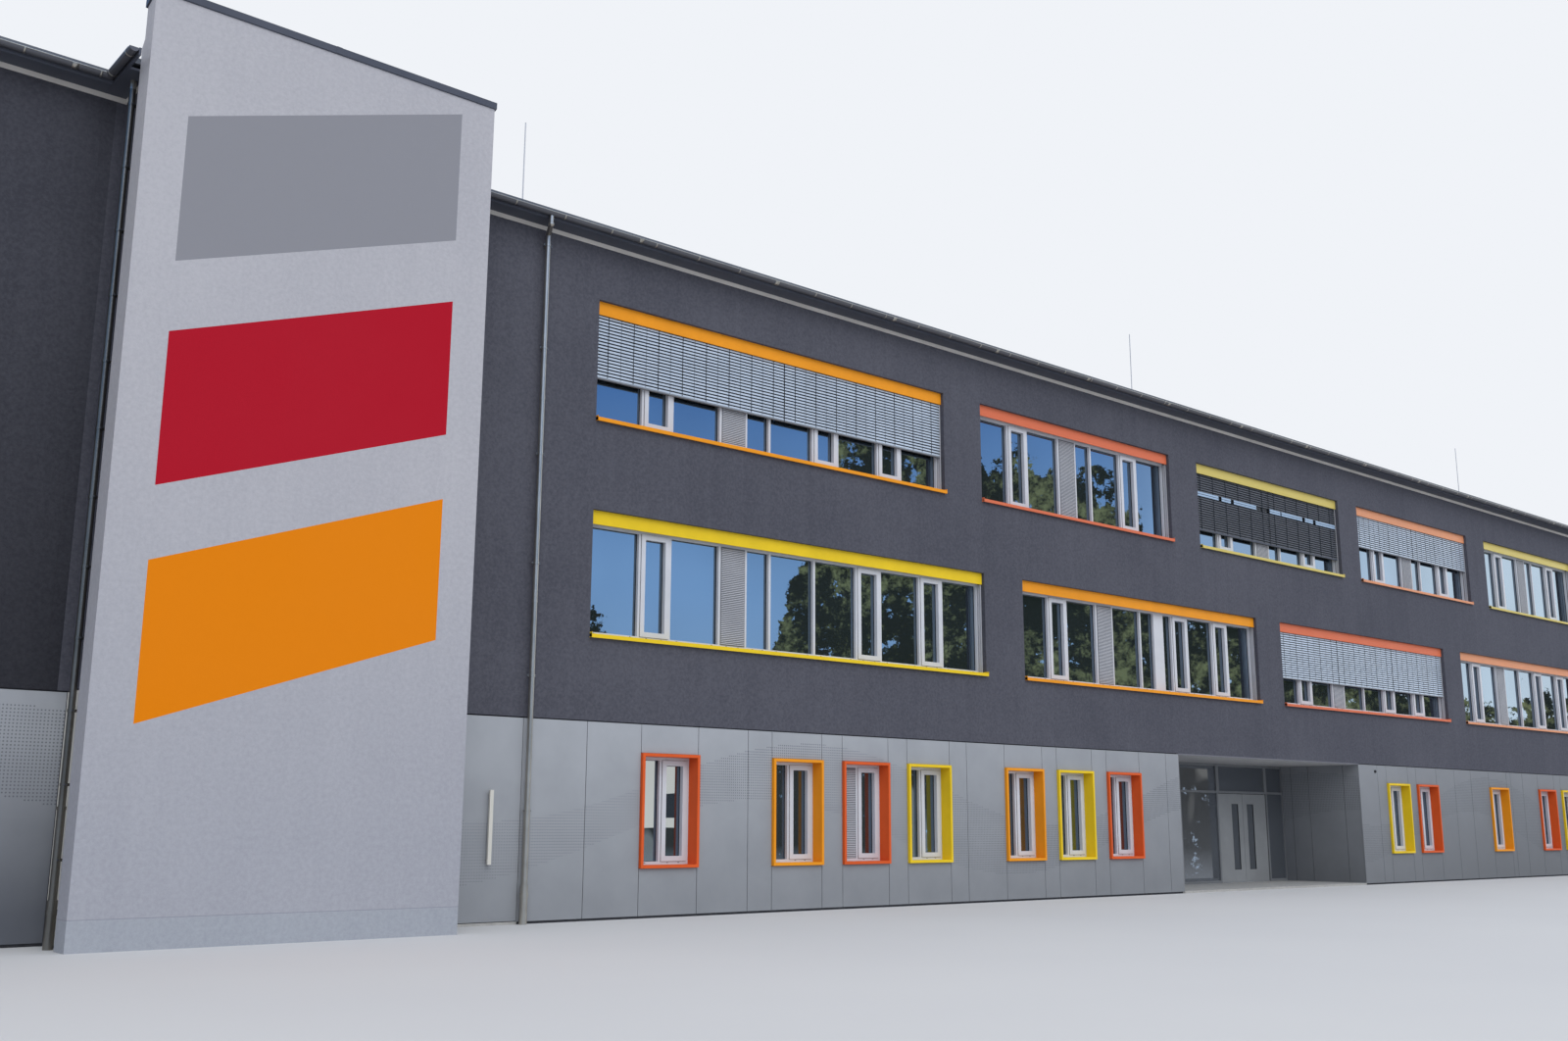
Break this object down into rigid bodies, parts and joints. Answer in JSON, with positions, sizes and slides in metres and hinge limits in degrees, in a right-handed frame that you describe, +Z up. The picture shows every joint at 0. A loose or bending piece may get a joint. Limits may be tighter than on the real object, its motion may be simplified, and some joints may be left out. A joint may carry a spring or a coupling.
{
  "type": "three-storey school building at 1:2 scale",
  "caption": "Long school building with cladding below, rendered storeys with ribbon windows, a stair tower with a white slab, a recessed entrance with a double door, and a low hipped roof.",
  "frame": {"origin": "centre of the bounding box in plan, on the ground", "axes": "+X along the front from left to right as seen by someone facing it, +Y from the front to the back, +Z up"},
  "size_m": [30.45, 7.915, 6.4099],
  "materials": {
    "floor_concrete": "matt, stands for concrete",
    "wall_core": "matt, stands for the wall behind the cladding",
    "dark_render": "rough mineral render",
    "white_plaster": "smooth matt",
    "cladding": "matt with printed dots",
    "dark_metal": "matt",
    "roof_metal": "matt",
    "zinc": "weathered",
    "light_metal": "satin",
    "ceiling_board": "matt",
    "window_white": "satin",
    "glass": "clear",
    "dark_glass": "clear",
    "blind_slats": "satin",
    "amber": "satin",
    "yellow": "satin",
    "coral": "satin",
    "salmon": "satin"
  },
  "bodies": {
    "building": {"ground_floor": "floor_concrete", "threshold_slabs": "floor_concrete", "first_floor": "floor_concrete", "second_floor": "floor_concrete", "top_ceiling": "floor_concrete", "ground_strips": "wall_core", "ground_piers": "wall_core", "render_strips": "dark_render", "render_piers": "dark_render", "end_ground_strips": "wall_core", "end_ground_piers": "wall_core", "end_render_strips": "dark_render", "end_render_piers": "dark_render", "tower_side_walls": "dark_render", "tower_slab": "white_plaster", "tower_coping": "dark_metal", "tower_roof": "roof_metal", "recess_walls": "wall_core", "recess_ceiling": "ceiling_board", "entrance_side_frames": "light_metal", "entrance_head_frame": "light_metal", "entrance_glass": "glass", "facade_panels": "cladding", "window_frames": "window_white", "window_glass": "glass", "louvre_panels": "window_white", "lowered_blinds": "blind_slats", "amber_trim": "amber", "yellow_trim": "yellow", "coral_trim": "coral", "salmon_trim": "salmon", "eaves_trim": "light_metal", "soffit_boards": "dark_metal", "gutters": "zinc", "downpipes": "zinc", "pipe_clamps": "zinc", "roof_front": "roof_metal", "roof_back": "roof_metal", "roof_hips": "roof_metal", "lightning_rods": "light_metal"},
    "entrance_left_leaf": {"entrance_leaf_left": "light_metal", "leaf_glass_left": "dark_glass"},
    "entrance_right_leaf": {"entrance_leaf_right": "light_metal", "leaf_glass_right": "dark_glass"},
    "service_door_leaf": {"service_door": "cladding"}
  },
  "joints": [
    {"name": "entrance_left_hinge", "type": "hinge", "parent": "building", "child": "entrance_left_leaf", "pos_m": [5.498, -2.1225, 0.59], "axis": [0, 0, -1], "range_deg": [0, 90]},
    {"name": "entrance_right_hinge", "type": "hinge", "parent": "building", "child": "entrance_right_leaf", "pos_m": [6.582, -2.1225, 0.59], "axis": [0, 0, 1], "range_deg": [0, 90]},
    {"name": "service_door_hinge", "type": "hinge", "parent": "building", "child": "service_door_leaf", "pos_m": [-6.127, -3.255, 0.78], "axis": [0, 0, -1], "range_deg": [0, 90]}
  ]
}
